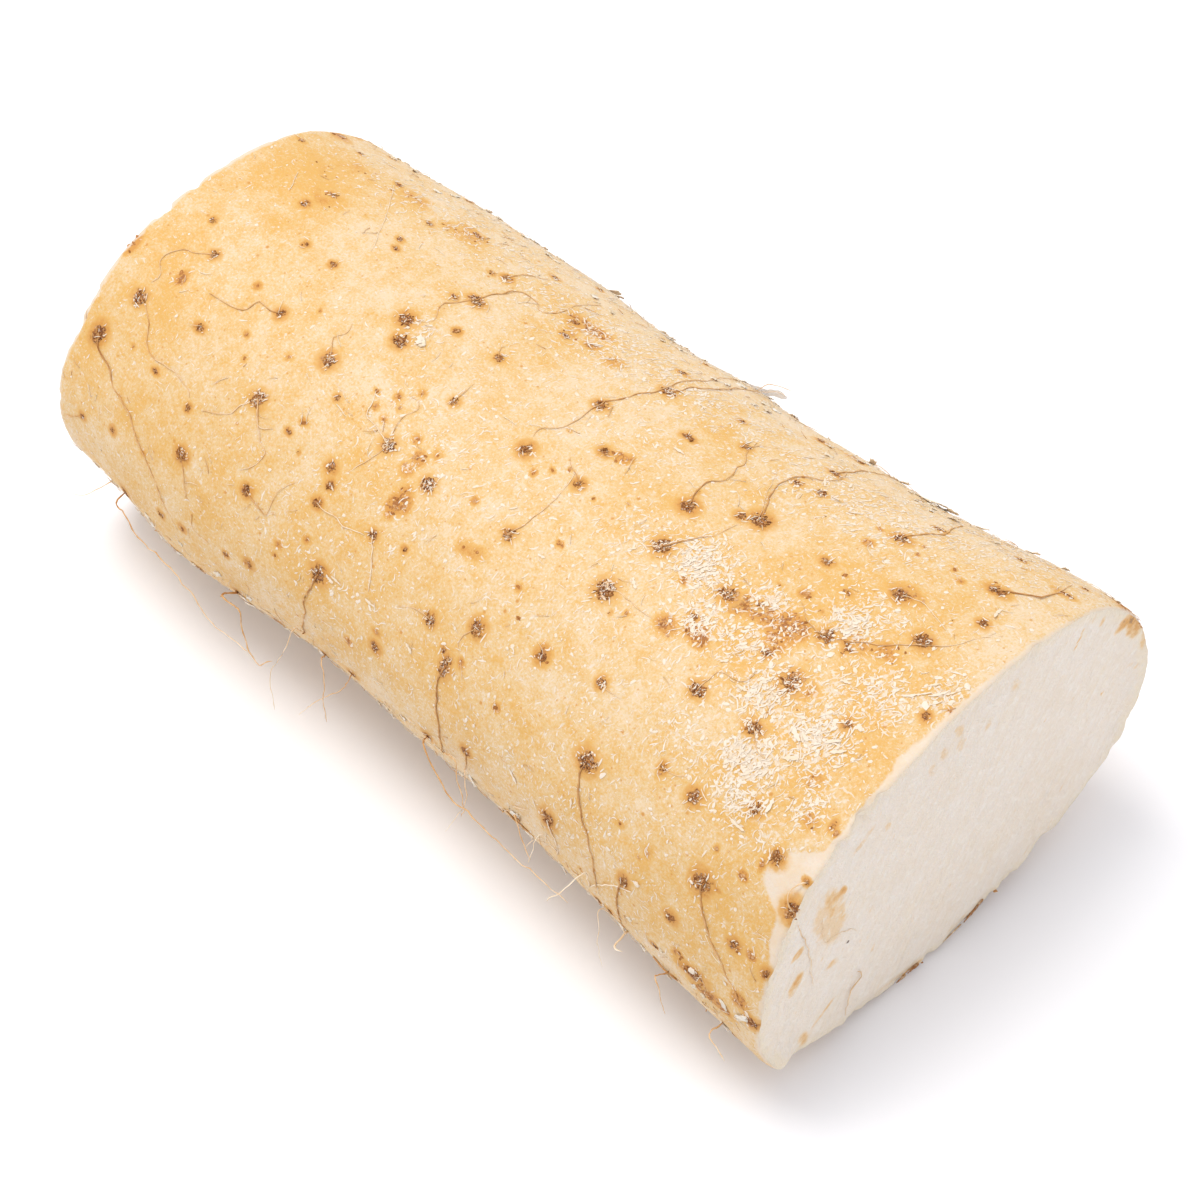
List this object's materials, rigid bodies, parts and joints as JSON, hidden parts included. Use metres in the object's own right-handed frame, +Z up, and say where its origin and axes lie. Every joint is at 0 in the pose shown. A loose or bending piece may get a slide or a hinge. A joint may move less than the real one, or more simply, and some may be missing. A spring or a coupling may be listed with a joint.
{
  "type": "mountain yam",
  "caption": "Cut length of mountain yam lying on its side: a gently tapering oval tuber with rough, root-scarred skin and a flat white cut face at each end.",
  "frame": {"origin": "on the surface the tuber rests on, under the centre of its box", "axes": "+X along the tuber towards the thicker cut end, +Z up, +Y to the left when looking along +X"},
  "size_m": [0.125, 0.0672, 0.0496],
  "materials": {
    "tuber_skin": "matte",
    "cut_flesh": "satin",
    "root_scab": "matte",
    "rootlet": "matte",
    "sawdust": "matte"
  },
  "bodies": {
    "root": {"yam_tuber": "tuber_skin"}
  },
  "joints": []
}
